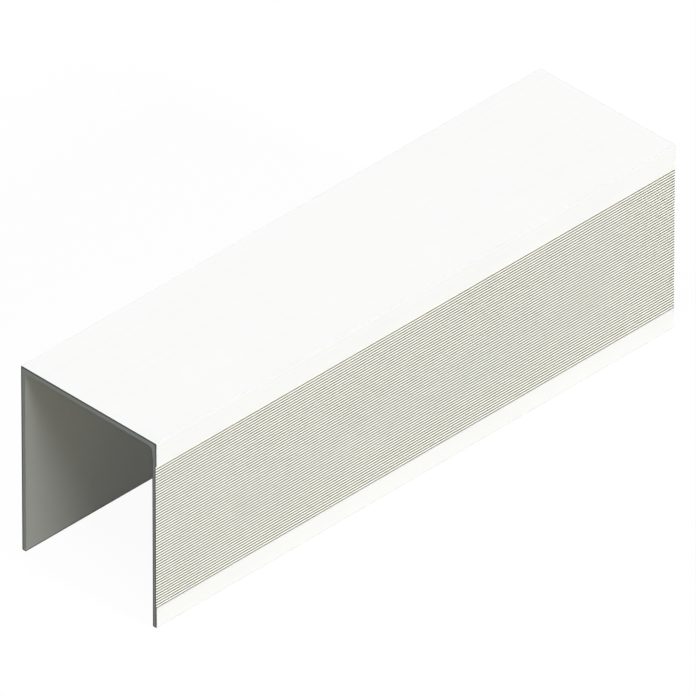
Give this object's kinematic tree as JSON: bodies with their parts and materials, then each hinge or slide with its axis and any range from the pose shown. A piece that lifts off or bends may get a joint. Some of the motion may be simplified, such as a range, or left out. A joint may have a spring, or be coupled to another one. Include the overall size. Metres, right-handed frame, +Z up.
{
  "type": "sliding door track",
  "caption": "Straight aluminium channel of inverted U section with a flat web, plain legs and fine reeding along an outer face; sliding doors run in the space between the legs.",
  "frame": {"origin": "middle of the overall width and of the length, at the level of the feet", "axes": "+X across the channel towards the reeded leg, +Y along the length, +Z up from the feet to the web"},
  "size_m": [0.0596, 0.228, 0.07],
  "materials": {
    "coated_profile": "satin off-white powder coat on extruded aluminium, with bare sawn ends"
  },
  "bodies": {
    "root": {"track_channel": "coated_profile"}
  },
  "joints": []
}
